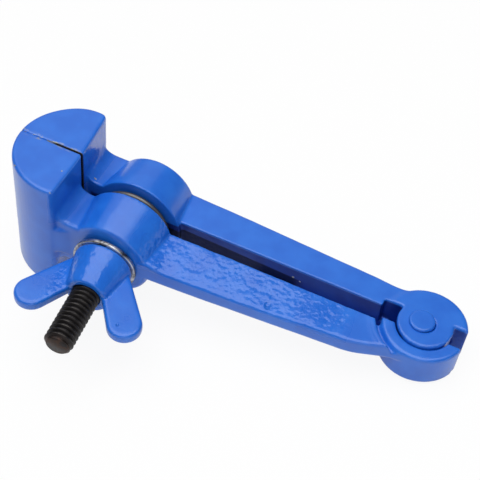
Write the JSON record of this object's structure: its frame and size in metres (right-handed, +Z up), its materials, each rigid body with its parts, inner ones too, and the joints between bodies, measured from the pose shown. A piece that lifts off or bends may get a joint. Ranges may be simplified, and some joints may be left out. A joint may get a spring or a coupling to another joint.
{
  "type": "hand vise",
  "caption": "Hand vise with hinged jaws, drawn shut by a wing nut on a cross bolt and opened by a spring.",
  "frame": {"origin": "middle of the underside of the bounding box, on the bench that the tool lies on", "axes": "+X from the hinge to the jaws along the tool's length, +Y to the wing nut's side, +Z up; the head stands on its lower back edge and the knuckle on its rim, so the tool is tipped 6.6 degrees about Y"},
  "size_m": [0.1286, 0.0636, 0.0397],
  "materials": {
    "painted_casting": "gloss blue enamel over a rough casting",
    "black_steel": "black oxide, lightly oiled",
    "bright_steel": "plain pressed steel"
  },
  "bodies": {
    "fixed_jaw": {"near_jaw": "painted_casting", "hinge_rivet": "painted_casting", "opening_spring": "black_steel"},
    "moving_jaw": {"far_jaw": "painted_casting"},
    "bolt": {"clamp_bolt": "black_steel"},
    "thrust_washer": {"washer": "bright_steel"},
    "nut": {"wing_nut": "painted_casting"}
  },
  "joints": [
    {"name": "nut_turn", "type": "hinge", "parent": "thrust_washer", "child": "nut", "pos_m": [0.02864, 0.00229, 0.01704], "axis": [-0.0791, 0.9968, -0.0092], "range_deg": [0, 4424.19]},
    {"name": "jaw_hinge", "type": "hinge", "parent": "fixed_jaw", "child": "moving_jaw", "pos_m": [-0.05321, -0.01561, 0.00752], "axis": [0.1156, 0, -0.9933], "range_deg": [0, 12.01], "deforming": ["opening_spring"]},
    {"name": "bolt_swivel", "type": "hinge", "parent": "moving_jaw", "child": "bolt", "pos_m": [0.03171, -0.03639, 0.0174], "axis": [0.1156, 0, -0.9933], "range_deg": [-4.17, 0]},
    {"name": "nut_travel", "type": "slide", "parent": "bolt", "child": "thrust_washer", "axis": [-0.0791, 0.9968, -0.0092], "range_m": [0, 0.01735]}
  ],
  "couplings": [
    {"joint": "jaw_hinge", "follows": "nut_turn", "ratio": 0.0027124},
    {"joint": "bolt_swivel", "follows": "nut_turn", "ratio": -0.00094199},
    {"joint": "nut_travel", "follows": "nut_turn", "m_per_rad": 0.00022459}
  ]
}
